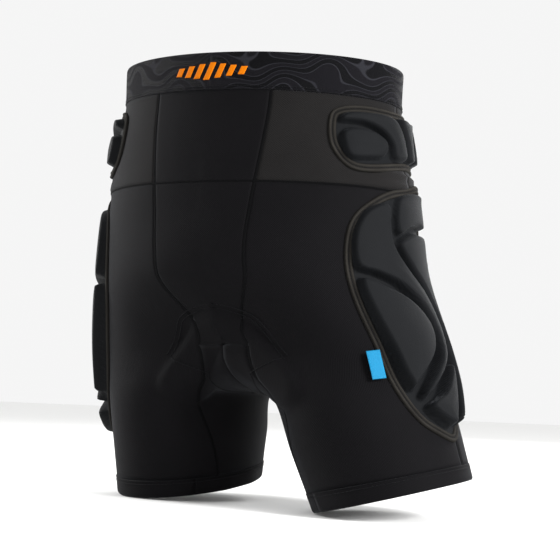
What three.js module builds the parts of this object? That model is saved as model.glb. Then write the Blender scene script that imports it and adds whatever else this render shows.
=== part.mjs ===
// Padded impact shorts: a stretch knit shell on an elastic waistband, with sewn-on moulded foam
// pads over the hips, thighs, seat and tailbone, and a seat pad between the legs.
// Millimetres, +Z up. The origin is the centre of the waist opening, level with its top edge.
// The front faces -Y and the wearer's left is +X. The legs stand as on a wearer, left leg out.
//
// The whole garment is drawn on one surface. A point on it is (side, u, down):
//   side  +1 left half, -1 right half
//   u     0 front centre, 0.5 side, 1 back centre; on a leg 1..2 runs on round the inside
//   down  distance below the waist edge, measured down the side
// A pad is drawn flat in (across, down) millimetres, across counted from the side line
// towards the back, and then laid on that surface.
import * as THREE from 'three';
import { mergeVertices } from 'three/addons/utils/BufferGeometryUtils.js';
import { TessellateModifier } from 'three/addons/modifiers/TessellateModifier.js';

// ---- driving dimensions ----
const waistHalfWidth = 156;
const waistDepth = 97;            // waist centre to its front edge
const seatHalfWidth = 168;
const seatDepthFront = 116;
const seatDepthBack = 127;
const seatDrop = 215;             // waist edge to the fullest part of the seat
const crotchDrop = 290;           // waist edge to the level where the legs part
const legLength = 150;            // crotch level to hem, down the side
const thighRadius = [88, 94];     // across, front to back
const hemRadius = [75, 77];
const waistTilt = THREE.MathUtils.degToRad(3);   // the left side hangs lower
const bandHeight = 39;
const bandWall = 3;
const fabric = 1.6;               // shell cloth thickness
const hemHeight = 18;
const hemWall = 2.8;
const seam = 0.5;                 // gap left between two panels at a seam
const lay = 0.8;                  // gap between a piece and the piece it lies on
const mergeWithin = 7e-4;         // corners nearer than this are one corner
const carrierWall = 1.5;          // sewn-down backing of a pad
const hipFoam = 8;
const thighFoam = 11;
const seatFoam = 11;
const tailFoam = 9;
const seatPadFoam = 8;            // the pad between the legs, inside the shell
const frontPanelHalf = 66;        // half width of the front centre panel at the waist
const frontPanelLow = 50;         // and at the fullest part of the seat
const backPanelHalf = 52;
const yokeDrop = 130;             // waist edge to the seam across the front of the hip
const tagSize = [12, 28];         // how far the side tag stands out, and how tall it is
const tagWall = 1.6;
const tagPlace = [-72.5, 306];    // where it is sewn in, [across, down] as the pads are drawn
const tagLift = 2.6;              // its middle above the pad's backing
const tagLean = 0.6;              // how far its sewn edge leans off the side line in 10 mm

const rowPitch = 20;              // the shell is faceted this finely down, and across
const columnPitch = 18;
const padPitch = 23;              // longest facet edge of a piece laid on the shell

const gussetReach = 30;           // how far the inner leg panel reaches past the crotch line
const gussetEnd = crotchDrop + gussetReach;
const inseamTurn = 0.16;          // how far round the leg, in u, its two inner seams move by the hem
const hemTop = crotchDrop + legLength - hemHeight;

// ---- the body surface ----
const outerSteps = 48;
const innerSteps = 16;
const fineSteps = 400;            // points on a section before it is cut into equal steps
const innerPhase = THREE.MathUtils.degToRad(128);  // a leg's outer arc ends this far round
const squareness = [1, 1, 0.98, 0.96, 0.93];
const trunkShare = [0, 0.19, 0.4, 0.7, 1];         // depth of each trunk row, as a share
const trunkRows = trunkShare.map((share, i) => ({
  down: share * seatDrop,
  halfWidth: THREE.MathUtils.lerp(waistHalfWidth, seatHalfWidth, [0, -0.08, 0.35, 0.95, 1][i]),
  front: THREE.MathUtils.lerp(waistDepth, seatDepthFront, [0, 0.1, 0.37, 0.79, 1][i]),
  back: THREE.MathUtils.lerp(waistDepth + 1, seatDepthBack, [0, 0.1, 0.38, 0.76, 1][i]),
  lean: [0, 0, 0, 2, 6][i],                        // the seat stands a little to the left
  power: squareness[i],
}));
const crotch = {
  lean: 21, front: -84, back: 98, frontLift: 6, backLift: 20, sag: 48,
  dip: 6, thighShare: 0.95,       // its row dips at the sides, and is nearly as round there as the thigh
};
// A leg runs from its top's centre [x, y] along foot, and its hem faces the way that hem says.
const legs = {
  1: { top: [115, -9], foot: [62, -21, -132], hem: [0.242, 0.06, -0.968] },
  [-1]: { top: [-77, 8], foot: [-2, 10, -138], hem: [0.064, 0.152, -0.985] },
};
const legRows = [0.3, 0.633, 1];
const knots = [...trunkRows.map((r) => r.down), crotchDrop, ...legRows.map((w) => crotchDrop + w * legLength)];
const crotchRow = trunkRows.length;

const vec = (x, y, z) => new THREE.Vector3(x, y, z);

// Equal steps along a polyline.
function evenSteps(points, steps) {
  const run = [0];
  for (let i = 1; i < points.length; i++) run.push(run[i - 1] + points[i].distanceTo(points[i - 1]));
  const out = [];
  let k = 1;
  for (let i = 0; i <= steps; i++) {
    const s = (run.at(-1) * i) / steps;
    while (k < points.length - 1 && run[k] < s) k++;
    out.push(points[k - 1].clone().lerp(points[k], (s - run[k - 1]) / (run[k] - run[k - 1])));
  }
  return out;
}

function sampled(steps, rule) {
  return Array.from({ length: steps + 1 }, (_, i) => rule(i / steps));
}

// Half of a trunk section, front centre to back centre.
function trunkRow(side, row) {
  const tiltLeft = 1 - THREE.MathUtils.clamp((row.down - bandHeight) / (seatDrop - bandHeight), 0, 1);
  return sampled(fineSteps, (t) => {
    const c = Math.cos(Math.PI * t);
    const reach = c > 0 ? -row.front : row.back;
    const x = row.lean + side * row.halfWidth * Math.sin(Math.PI * t) ** row.power;
    return vec(x, reach * Math.abs(c) ** row.power, -row.down - tiltLeft * Math.tan(waistTilt) * x);
  });
}

// A leg's section at a share of the way from the crotch level to the hem.
function legFrame(side, share) {
  const { top, foot, hem } = legs[side];
  const centre = vec(top[0], top[1], -crotchDrop).addScaledVector(vec(...foot), (share * legLength) / 150);
  const turn = share * share * (3 - 2 * share) * 0.6 + share * 0.4;
  const axis = vec(0, 0, -1).lerp(vec(...hem), turn).normalize();
  const out = vec(side, 0, 0).addScaledVector(axis, -side * axis.x).normalize();
  const back = axis.clone().cross(out);
  if (back.y < 0) back.negate();
  const radius = [0, 1].map((k) => THREE.MathUtils.lerp(thighRadius[k], hemRadius[k], share));
  return (angle) => centre.clone()
    .addScaledVector(out, Math.cos(angle) * radius[0])
    .addScaledVector(back, Math.sin(angle) * radius[1]);
}

// The row at crotch level: the trunk's half section, filled out by the top of the thigh.
function crotchOuter(side) {
  const thigh = legFrame(side, 0);
  return sampled(fineSteps, (t) => {
    const c = Math.cos(Math.PI * t);
    const s = Math.sin(Math.PI * t);
    const reach = (c > 0 ? crotch.front : crotch.back) * Math.abs(c) ** 0.9;
    const z = THREE.MathUtils.lerp(crotch.frontLift, crotch.backLift, t) - crotchDrop - crotch.dip * s;
    const trunk = vec(crotch.lean + side * seatHalfWidth * s ** 0.9, reach, z);
    return trunk.lerp(thigh(innerPhase * (2 * t - 1)), crotch.thighShare * s ** 0.6);
  });
}

// The line under the body where the two legs meet, back to front.
function crotchUnder() {
  const middle = (crotch.front + crotch.back) / 2;
  const half = (crotch.back - crotch.front) / 2;
  return sampled(fineSteps, (t) => {
    const lift = THREE.MathUtils.lerp(crotch.backLift, crotch.frontLift, t);
    const z = lift - crotchDrop - crotch.sag * Math.sin(Math.PI * t);
    return vec(crotch.lean, middle + half * Math.cos(Math.PI * t), z);
  });
}

// Row-to-row slopes for a smooth surface through the rows.
function slopes(rows, at) {
  return rows.map((row, i) => row.map((p, j) => {
    const before = i > 0 ? p.clone().sub(rows[i - 1][j]).divideScalar(at[i] - at[i - 1]) : null;
    const after = i < rows.length - 1 ? rows[i + 1][j].clone().sub(p).divideScalar(at[i + 1] - at[i]) : null;
    if (!before) return after;
    if (!after) return before;
    const a = at[i] - at[i - 1];
    const b = at[i + 1] - at[i];
    return before.multiplyScalar(b / (a + b)).addScaledVector(after, a / (a + b));
  }));
}

function makeHalf(side) {
  const outer = trunkRows.map((row) => evenSteps(trunkRow(side, row), outerSteps));
  outer.push(evenSteps(crotchOuter(side), outerSteps));
  const inner = [evenSteps(crotchUnder(), innerSteps)];
  for (const share of legRows) {
    const ring = legFrame(side, share);
    outer.push(evenSteps(sampled(fineSteps, (t) => ring(innerPhase * (2 * t - 1))), outerSteps));
    const gap = 2 * Math.PI - 2 * innerPhase;
    inner.push(evenSteps(sampled(fineSteps, (t) => ring(innerPhase + gap * t)), innerSteps));
  }
  const outerSlopes = slopes(outer, knots);
  const innerSlopes = slopes(inner, knots.slice(crotchRow));
  innerSlopes[0] = innerSlopes[0].map((_, j) => {
    const t = j / innerSteps;
    const end = Math.abs(2 * t - 1) ** 4;
    const atEnd = outerSlopes[crotchRow][outerSteps].clone().lerp(outerSlopes[crotchRow][0], t);
    return vec(side * 0.9, 0, -0.15).lerp(atEnd, end);
  });
  return { outer: [outer, outerSlopes, knots], inner: [inner, innerSlopes, knots.slice(crotchRow)] };
}
const halves = { 1: makeHalf(1), [-1]: makeHalf(-1) };

// Catmull-Rom along one row.
function alongRow(row, x) {
  const n = row.length - 1;
  const i = Math.min(Math.floor(x), n - 1);
  const f = x - i;
  const p1 = row[i];
  const p2 = row[i + 1];
  const p0 = row[i - 1] ?? p1.clone().multiplyScalar(2).sub(p2);
  const p3 = row[i + 2] ?? p2.clone().multiplyScalar(2).sub(p1);
  return p1.clone().multiplyScalar(2 - 5 * f * f + 3 * f ** 3)
    .addScaledVector(p0, -f + 2 * f * f - f ** 3)
    .addScaledVector(p2, f + 4 * f * f - 3 * f ** 3)
    .addScaledVector(p3, -f * f + f ** 3)
    .multiplyScalar(0.5);
}

function surface(side, u, down) {
  const onLeg = down > crotchDrop;
  let turn = onLeg ? THREE.MathUtils.euclideanModulo(u, 2) : u;
  const underside = turn > 1;
  if (underside) turn -= 1;
  const [rows, lean, at] = underside ? halves[side].inner : halves[side].outer;
  const x = THREE.MathUtils.clamp(turn, 0, 1) * (rows[0].length - 1);
  let i = 0;
  while (i < at.length - 2 && down >= at[i + 1]) i++;
  const h = at[i + 1] - at[i];
  const t = (down - at[i]) / h;
  return alongRow(rows[i], x).multiplyScalar(2 * t ** 3 - 3 * t * t + 1)
    .addScaledVector(alongRow(lean[i], x), (t ** 3 - 2 * t * t + t) * h)
    .addScaledVector(alongRow(rows[i + 1], x), -2 * t ** 3 + 3 * t * t)
    .addScaledVector(alongRow(lean[i + 1], x), (t ** 3 - t * t) * h);
}

// Unit normal out of the garment.
function outward(side, u, down) {
  const du = 0.004;
  const dd = 1;
  const underside = u > 1 && down >= crotchDrop;
  const top = underside ? crotchDrop + 0.01 : 0;
  const across = down > crotchDrop
    ? surface(side, u + du, down).sub(surface(side, u - du, down))
    : surface(side, underside ? u + du : Math.min(u + du, 1), down + (underside ? 0.01 : 0))
      .sub(surface(side, underside ? u - du : Math.max(u - du, 0), down + (underside ? 0.01 : 0)));
  const along = surface(side, u, down + dd).sub(surface(side, u, Math.max(down - dd, top)));
  return along.cross(across).multiplyScalar(side).normalize();
}

const point = (side, u, down, height) => surface(side, u, down).addScaledVector(outward(side, u, down), height);

// Length of a half section from front centre to back centre.
const girthStep = 10;
const girths = Object.fromEntries([1, -1].map((side) => [side, sampled(
  Math.round((crotchDrop + legLength) / girthStep),
  (t) => {
    const row = sampled(60, (u) => surface(side, u, t * (crotchDrop + legLength)));
    return row.slice(1).reduce((sum, p, i) => sum + p.distanceTo(row[i]), 0);
  },
)]));
function girth(side, down) {
  const list = girths[side];
  const x = THREE.MathUtils.clamp(down / (crotchDrop + legLength), 0, 1) * (list.length - 1);
  const i = Math.min(Math.floor(x), list.length - 2);
  return THREE.MathUtils.lerp(list[i], list[i + 1], x - i);
}

// ---- solids laid on the surface ----
// A closed solid from two grids of points, inside and outside. wrap joins the last column to the first.
function gridSolid(columns, rows, place, wrap = false) {
  const stride = wrap ? columns : columns + 1;
  const at = (layer, i, j) => layer * stride * (rows + 1) + j * stride + (i % stride);
  const position = [];
  for (const layer of [0, 1]) {
    for (let j = 0; j <= rows; j++) {
      for (let i = 0; i < stride; i++) position.push(...place(i / columns, j / rows, layer));
    }
  }
  const index = [];
  const quad = (a, b, c, d) => index.push(a, b, c, a, c, d);
  for (let i = 0; i < columns; i++) {
    for (let j = 0; j < rows; j++) {
      quad(at(1, i, j), at(1, i, j + 1), at(1, i + 1, j + 1), at(1, i + 1, j));
      quad(at(0, i, j), at(0, i + 1, j), at(0, i + 1, j + 1), at(0, i, j + 1));
    }
    quad(at(0, i, 0), at(1, i, 0), at(1, i + 1, 0), at(0, i + 1, 0));
    quad(at(1, i, rows), at(0, i, rows), at(0, i + 1, rows), at(1, i + 1, rows));
  }
  if (!wrap) {
    for (let j = 0; j < rows; j++) {
      quad(at(0, 0, j), at(0, 0, j + 1), at(1, 0, j + 1), at(1, 0, j));
      quad(at(1, columns, j), at(1, columns, j + 1), at(0, columns, j + 1), at(0, columns, j));
    }
  }
  return facingOut(position, index);
}

// A closed mesh with its faces pointing out.
function facingOut(position, index) {
  let volume = 0;
  const p = (k) => vec(position[3 * k], position[3 * k + 1], position[3 * k + 2]);
  for (let k = 0; k < index.length; k += 3) {
    volume += p(index[k]).dot(p(index[k + 1]).cross(p(index[k + 2])));
  }
  const geometry = new THREE.BufferGeometry();
  geometry.setAttribute('position', new THREE.Float32BufferAttribute(position, 3));
  geometry.setIndex(volume > 0 ? index : index.map((_, k) => index[k - (k % 3) + [0, 2, 1][k % 3]]));
  return geometry;
}

// The depths of a panel's rows. All panels share them, so that a seam bends alike on both sides.
function rowDepths(top, bottom) {
  const lines = [bandHeight, yokeDrop, crotchDrop, gussetEnd, hemTop];
  const depths = [];
  for (let k = 1; k < lines.length; k++) {
    const steps = Math.max(1, Math.round((lines[k] - lines[k - 1]) / rowPitch));
    for (let i = 0; i < steps; i++) depths.push(THREE.MathUtils.lerp(lines[k - 1], lines[k], i / steps));
  }
  return [top, ...depths.filter((d) => d > top + 2 * seam && d < bottom - 2 * seam), bottom];
}

// A panel of shell cloth between two lines, each giving u at a depth.
function clothPanel(side, from, to, top, bottom) {
  const middle = (top + bottom) / 2;
  const columns = Math.round((Math.abs(to(middle) - from(middle)) * girth(side, middle)) / columnPitch);
  const depths = rowDepths(top, bottom);
  const rows = depths.length - 1;
  return gridSolid(columns, rows, (i, j, layer) => {
    const down = depths[Math.round(j * rows)];
    const inset = seam / 2 / girth(side, down);
    const u = THREE.MathUtils.lerp(from(down) + inset, to(down) - inset, i);
    return point(side, u, down, layer ? 0 : -fabric);
  });
}

// A panel across the front or back centre line, with half its width given at a depth.
function centrePanel(base, half, top, bottom) {
  const depths = rowDepths(top, bottom);
  const rows = depths.length - 1;
  return gridSolid(6, rows, (i, j, layer) => {
    const down = depths[Math.round(j * rows)];
    const x = THREE.MathUtils.lerp(-1, 1, i) * (half(down) - seam / 2);
    const side = x < 0 ? -1 : 1;
    const u = Math.abs(base - Math.abs(x) / girth(side, down));
    return point(side, u, down, layer ? 0 : -fabric);
  });
}

// A flat outline, extruded, cut into small triangles and laid on the surface.
// corners is a closed list of [across, down]; place turns (across, down, height) into a point.
function laidSolid(corners, low, high, bevel, longest, place) {
  const curve = new THREE.CatmullRomCurve3(corners.map(([x, y]) => vec(x, y, 0)), true, 'catmullrom', 0.5);
  const outline = curve.getPoints(Math.round(corners.length * 1.15)).slice(0, -1);
  const flat = new THREE.ExtrudeGeometry(new THREE.Shape(outline.map((p) => new THREE.Vector2(p.x, p.y))), {
    depth: high - low - 2 * bevel,
    bevelEnabled: bevel > 0,
    bevelThickness: bevel,
    bevelSize: bevel,
    bevelOffset: -bevel,
    bevelSegments: 1,
  });
  flat.deleteAttribute('normal');
  flat.deleteAttribute('uv');
  const fine = mergeVertices(new TessellateModifier(longest, 12).modify(flat), mergeWithin);
  const flatPoints = fine.getAttribute('position');
  const position = [];
  for (let k = 0; k < flatPoints.count; k++) {
    const height = low + bevel + flatPoints.getZ(k);
    position.push(...place(flatPoints.getX(k), flatPoints.getY(k), height));
  }
  return facingOut(position, Array.from(fine.index.array));
}

// The pads are drawn for these levels: waist edge, band edge, seat, crotch and hem. Depths follow the real ones.
const drawnLevels = [0, 39, 215, 290, 440];
const realLevels = [0, bandHeight, seatDrop, crotchDrop, crotchDrop + legLength];
function graded(drawn) {
  let i = 0;
  while (i < drawnLevels.length - 2 && drawn > drawnLevels[i + 1]) i++;
  const share = (drawn - drawnLevels[i]) / (drawnLevels[i + 1] - drawnLevels[i]);
  return THREE.MathUtils.lerp(realLevels[i], realLevels[i + 1], share);
}
const besideSide = (side) => (across, drawn, height) => {
  const down = graded(drawn);
  return point(side, 0.5 + across / girth(side, down), down, height);
};
const besideSpine = (across, drawn, height) => {
  const down = graded(drawn);
  const side = across < 0 ? -1 : 1;
  return point(side, 1 - Math.abs(across) / girth(side, down), down, height);
};

// ---- pad outlines, [across, down] from the side line, or from the spine for the tailbone ----
const hipPad = {
  outline: [[-84, 66], [-76, 53], [-52, 47], [-13, 46], [26, 45], [71, 45], [86, 51], [91, 68], [90, 90],
    [82, 102], [50, 104], [10, 104], [-16, 108], [-45, 114], [-66, 114], [-78, 106], [-86, 88]],
  foam: hipFoam,
  blocks: {
    front_low: [[-72, 76], [-52, 72], [-36, 77], [-29, 86], [-34, 97], [-50, 102], [-70, 103], [-75, 90]],
    front_arch: [[-73, 66], [-66, 57], [-43, 54], [-22, 54], [-11, 61], [-4, 78], [-4, 96], [-16, 99],
      [-23, 96], [-24, 84], [-34, 72], [-52, 66]],
    middle: [[-5, 54], [14, 53], [30, 52], [24, 60], [18, 70], [16, 94], [5, 96], [3, 78]],
    rear_arch: [[37, 53], [53, 52], [78, 52], [81, 58], [64, 63], [51, 72], [47, 84], [46, 94], [26, 95],
      [24, 80], [28, 64]],
    rear_low: [[81, 65], [63, 70], [55, 80], [54, 93], [70, 95], [82, 92], [84, 78]],
  },
};
const thighPad = {
  outline: [[-4, 125], [-30, 131], [-52, 142], [-72, 158], [-82, 178], [-86, 210], [-83, 245], [-74, 290],
    [-63, 335], [-47, 368], [-27, 386], [-9, 395], [2, 390], [16, 366], [29, 325], [35, 270], [37, 200],
    [37, 142], [32, 126], [14, 120]],
  foam: thighFoam,
  blocks: {
    front_sweep: [[-73, 170], [-61, 154], [-42, 145], [-36, 152], [-38, 170], [-34, 190], [-18, 214],
      [0, 236], [8, 262], [4, 290], [-10, 314], [-29, 336], [-40, 345], [-41, 339], [-26, 320], [-9, 294],
      [-5, 268], [-13, 247], [-34, 228], [-58, 218], [-76, 212], [-78, 190]],
    front_low: [[-75, 224], [-52, 231], [-29, 243], [-15, 258], [-11, 272], [-18, 292], [-33, 314],
      [-49, 334], [-54, 328], [-62, 296], [-71, 260]],
    rear_top: [[-22, 137], [0, 130], [24, 129], [29, 136], [28, 158], [24, 164], [8, 162], [-8, 165],
      [-24, 174], [-30, 170], [-29, 152]],
    rear_long: [[-28, 184], [-10, 173], [8, 170], [26, 174], [28, 200], [26, 262], [21, 320], [9, 356],
      [-2, 378], [-3, 370], [5, 346], [12, 318], [16, 285], [14, 256], [4, 230], [-14, 207]],
    low: [[-38, 355], [-20, 342], [-4, 322], [7, 304], [9, 316], [2, 340], [-9, 370], [-15, 380],
      [-29, 370]],
  },
};
const seatPad = {
  outline: [[66, 160], [78, 154], [100, 153], [119, 158], [128, 170], [128, 200], [121, 240], [113, 270],
    [98, 292], [84, 296], [70, 286], [56, 264], [51, 240], [54, 200], [60, 175]],
  foam: seatFoam,
  blocks: {
    top: [[70, 167], [90, 164], [94, 170], [97, 187], [80, 187], [67, 181]],
    outer: [[63, 190], [80, 193], [90, 197], [87, 210], [78, 226], [76, 246], [87, 272], [91, 283],
      [80, 282], [66, 266], [59, 245], [59, 212]],
    strip: [[101, 166], [116, 166], [121, 175], [120, 198], [111, 210], [98, 226], [96, 242], [105, 260],
      [108, 266], [103, 280], [98, 282], [90, 264], [83, 246], [84, 230], [94, 214], [101, 200],
      [103, 184]],
    lens: [[119, 213], [106, 225], [103, 240], [112, 254], [118, 240]],
  },
};
const mirrored = (half) => half.map(([x, y]) => [-x, y]).reverse();
const bothHalves = (half) => [...half, ...mirrored(half.slice(1, -1))];
const tailStrip = [[27, 70], [33, 80], [33, 98], [29, 118], [24, 136], [22, 150], [28, 172], [39, 188],
  [38, 198], [31, 200], [21, 180], [16, 154], [18, 134], [26, 110], [28, 88]];
const tailLens = [[38, 112], [40, 140], [48, 166], [49, 184], [44, 186], [34, 169], [28, 150], [31, 132]];
const tailPad = {
  outline: bothHalves([[0, 55], [22, 57], [36, 68], [39, 90], [39, 115], [45, 145], [55, 170], [55, 190],
    [43, 207], [20, 214], [0, 216]]),
  foam: tailFoam,
  blocks: {
    middle: bothHalves([[0, 65], [15, 69], [21, 86], [18, 108], [10, 132], [9, 152], [14, 178],
      [22, 200], [12, 206], [0, 207]]),
    strip_left: tailStrip,
    strip_right: mirrored(tailStrip),
    lens_left: tailLens,
    lens_right: mirrored(tailLens),
  },
};

// ---- materials ----
const finish = (color, roughness) => new THREE.MeshStandardMaterial({ color, roughness, metalness: 0 });
const knit = () => finish('#1d1d1f', 0.85);
const webbing = () => finish('#26262a', 0.8);
const padCover = () => finish('#222428', 0.75);
const backing = () => finish('#2b2a29', 0.9);
const liner = () => finish('#19191b', 0.9);
const ribbon = () => finish('#1aa7dc', 0.6);

const shorts = new THREE.Group();
function add(name, geometry, material) {
  const mesh = new THREE.Mesh(geometry, material);
  mesh.name = name;
  shorts.add(mesh);
}

// ---- waistband: a flat-edged ring of elastic ----
const bandAxis = vec(Math.sin(waistTilt), 0, Math.cos(waistTilt));
function addWaistband() {
  const columns = 48;
  const ring = gridSolid(columns, 1, (i, j, layer) => {
    const side = i < 0.5 ? 1 : -1;
    const u = 1 - Math.abs(2 * i - 1);
    const down = j * (bandHeight - seam / 2);
    const away = outward(side, u, down);
    away.addScaledVector(bandAxis, -away.dot(bandAxis)).normalize();
    return surface(side, u, down).addScaledVector(away, layer ? bandWall / 5 : (-4 * bandWall) / 5);
  }, true);
  add('waistband', ring, webbing());
}

// ---- shell panels ----
const blend = (x, from, to) => THREE.MathUtils.smoothstep(x, from, to);
const frontHalf = (down) => {
  const half = THREE.MathUtils.lerp(frontPanelHalf, frontPanelLow, blend(down, bandHeight, seatDrop));
  return THREE.MathUtils.lerp(half, gussetReach, blend(down, seatDrop, crotchDrop));
};
const backHalf = (down) => THREE.MathUtils.lerp(backPanelHalf, gussetReach, blend(down, seatDrop, crotchDrop));
const fade = (down) => THREE.MathUtils.clamp((gussetEnd - down) / gussetReach, 0, 1);
const inward = (down) => inseamTurn * blend(down, gussetEnd, hemTop);
const frontSeam = (side) => (down) => (frontHalf(down) * fade(down)) / girth(side, down) - inward(down);
const backSeam = (side) => (down) => 1 - (backHalf(down) * fade(down)) / girth(side, down) + inward(down);
const sideSeam = () => 0.5;
const shellTop = bandHeight + seam / 2;

function addShell() {
  add('front_centre_panel', centrePanel(0, frontHalf, shellTop, crotchDrop - seam / 2), knit());
  add('back_centre_panel', centrePanel(1, backHalf, shellTop, crotchDrop - seam / 2), knit());
  for (const [side, name] of [[1, 'left'], [-1, 'right']]) {
    const front = frontSeam(side);
    const back = backSeam(side);
    add(`front_yoke_${name}`, clothPanel(side, front, sideSeam, shellTop, yokeDrop - seam / 2), knit());
    add(`front_leg_${name}`, clothPanel(side, front, sideSeam, yokeDrop + seam / 2, hemTop), knit());
    add(`back_yoke_${name}`, clothPanel(side, sideSeam, back, shellTop, yokeDrop - seam / 2), knit());
    add(`back_leg_${name}`, clothPanel(side, sideSeam, back, yokeDrop + seam / 2, hemTop), knit());
    const gussetTop = crotchDrop + 1.5 * seam;
    const toFront = (down) => 2 + front(down);
    add(`inner_leg_${name}`, clothPanel(side, back, toFront, gussetTop, hemTop), knit());
    addHem(side, name);
  }
}

function addHem(side, name) {
  const ring = gridSolid(28, 1, (i, j, layer) => {
    const down = THREE.MathUtils.lerp(hemTop + seam, crotchDrop + legLength, j);
    return point(side, 2 * i, down, layer ? 0 : -hemWall);
  }, true);
  add(`hem_${name}`, ring, knit());
}

// ---- the pad between the legs, inside the shell ----
// It runs down the front centre, under the body and up the back, and widens at both ends.
function addSeatLiner() {
  const rise = 42;
  const wide = 52;
  const narrow = 38;
  const columns = 10;
  const rows = 30;
  const ends = 0.25;              // share of its length that lies on the front, and on the back
  const clear = fabric + 0.075 * (crotchDrop - seatDrop);   // room for the bend where the legs part
  const topEdge = crotchDrop - 2;
  const laidAt = (base, down, x, height) => {
    const side = x < 0 ? -1 : 1;
    return point(side, Math.abs(base - Math.abs(x) / girth(side, down)), down, height);
  };
  const solid = gridSolid(columns, rows, (i, j, layer) => {
    const height = -(layer ? clear : clear + seatPadFoam);
    const half = THREE.MathUtils.lerp(wide, narrow, Math.sin(Math.PI * j));
    const x = THREE.MathUtils.lerp(-half, half, i);
    const base = j < 0.5 ? 0 : 1;
    const along = Math.min(j, 1 - j);
    if (along <= ends) return laidAt(base, topEdge - rise * (1 - along / ends), x, height);
    const t = (j - ends) / (1 - 2 * ends);
    const nearEnd = 1 - blend(Math.min(t, 1 - t), 0, 0.3);
    const middle = point(1, 2 - t, crotchDrop, height).lerp(laidAt(base, topEdge, 0, height), nearEnd);
    const spread = laidAt(base, topEdge, x, height).sub(laidAt(base, topEdge, 0, height));
    return middle.add(vec(x, 0, 0).lerp(spread, nearEnd));
  });
  add('seat_liner_pad', solid, liner());
}

// ---- sewn-on pads ----
function addPad(name, pad, place) {
  const top = lay + carrierWall;
  add(`${name}_carrier`, laidSolid(pad.outline, lay, top, 0, padPitch, place), backing());
  for (const [block, corners] of Object.entries(pad.blocks)) {
    add(`${name}_${block}`, laidSolid(corners, top + lay, top + lay + pad.foam, 2, padPitch, place), padCover());
  }
}

// ---- side tag: a folded ribbon sewn into the front edge of the left thigh pad ----
function addTag() {
  const [edge, down] = tagPlace;
  const height = lay + carrierWall + tagLift;
  const at = (across, drawn) => besideSide(1)(across, drawn, height);
  const centre = at(edge, down);
  const up = at(edge - tagLean, down - 10).sub(at(edge + tagLean, down + 10)).normalize();
  const forward = at(edge - 8, down).sub(centre);
  forward.addScaledVector(up, -forward.dot(up)).normalize();
  const away = up.clone().cross(forward);
  const solid = gridSolid(2, 2, (i, j, layer) => centre.clone()
    .addScaledVector(forward, seam + i * tagSize[0])
    .addScaledVector(up, (0.5 - j) * tagSize[1])
    .addScaledVector(away, (layer - 0.5) * tagWall));
  add('side_tag', solid, ribbon());
}

addWaistband();
addShell();
addSeatLiner();
for (const [side, name] of [[1, 'left'], [-1, 'right']]) {
  addPad(`hip_pad_${name}`, hipPad, besideSide(side));
  addPad(`thigh_pad_${name}`, thighPad, besideSide(side));
  addPad(`seat_pad_${name}`, seatPad, besideSide(side));
}
addPad('tailbone_pad', tailPad, besideSpine);
addTag();

export default shorts;
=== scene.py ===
import math

import bmesh
import bpy
import numpy as np
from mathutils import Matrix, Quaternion, Vector


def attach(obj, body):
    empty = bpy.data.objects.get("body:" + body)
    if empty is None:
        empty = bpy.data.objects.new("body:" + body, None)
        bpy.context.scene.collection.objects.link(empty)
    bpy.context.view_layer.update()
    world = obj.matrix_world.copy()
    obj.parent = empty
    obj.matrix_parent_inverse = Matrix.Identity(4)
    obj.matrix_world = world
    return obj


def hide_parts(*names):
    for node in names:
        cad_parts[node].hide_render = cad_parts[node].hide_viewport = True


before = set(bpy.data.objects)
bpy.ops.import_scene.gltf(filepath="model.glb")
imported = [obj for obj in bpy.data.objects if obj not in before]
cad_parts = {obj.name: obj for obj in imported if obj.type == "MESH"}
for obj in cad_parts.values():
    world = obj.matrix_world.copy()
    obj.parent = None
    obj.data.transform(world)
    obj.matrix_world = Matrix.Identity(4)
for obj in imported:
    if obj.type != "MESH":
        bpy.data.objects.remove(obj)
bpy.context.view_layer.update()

# Padded impact shorts. Lengths are in millimetres until a mesh is made, which is in metres.
# A place on the shell is (side, u, down): side +1 left and -1 right, u 0 front centre, 0.5 side and
# 1 back centre, running on from 1 to 2 round the inside of a leg, down below the waist edge.
MM = 0.001
waist_half_width, waist_depth = 156, 97
seat_half_width, seat_depth_front, seat_depth_back = 168, 116, 127
seat_drop, crotch_drop, leg_length = 215, 290, 150
thigh_radius, hem_radius = (88, 94), (75, 77)
waist_tilt = math.radians(3)
band_height = 39
fabric, band_wall, hem_height, hem_wall = 1.6, 2.6, 18, 2.8
front_panel_half, front_panel_low, back_panel_half, yoke_drop = 66, 50, 52, 130
gusset_reach, inseam_turn = 30, 0.16
gusset_end = crotch_drop + gusset_reach
hem_top = crotch_drop + leg_length - hem_height
hem_edge = crotch_drop + leg_length
stitch_pitch, hem_stitch_pitch = 3.4, 3.2
cover_base = 1.1      # a pad's cloth lies this high on the shell where it has no foam under it
foam_rise = {"hip": 9, "thigh": 12, "seat": 12, "tailbone": 10}


# ---- the body surface ----
def smooth(x, start, end):
    t = np.clip((x - start) / (end - start), 0, 1)
    return t * t * (3 - 2 * t)


def mix(a, b, t):
    return a + (b - a) * t


def unit(v):
    return v / np.maximum(np.linalg.norm(v, axis=-1, keepdims=True), 1e-9)


def columns(*parts):
    return np.stack(np.broadcast_arrays(*[np.asarray(p, float) for p in parts]), axis=-1)


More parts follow.
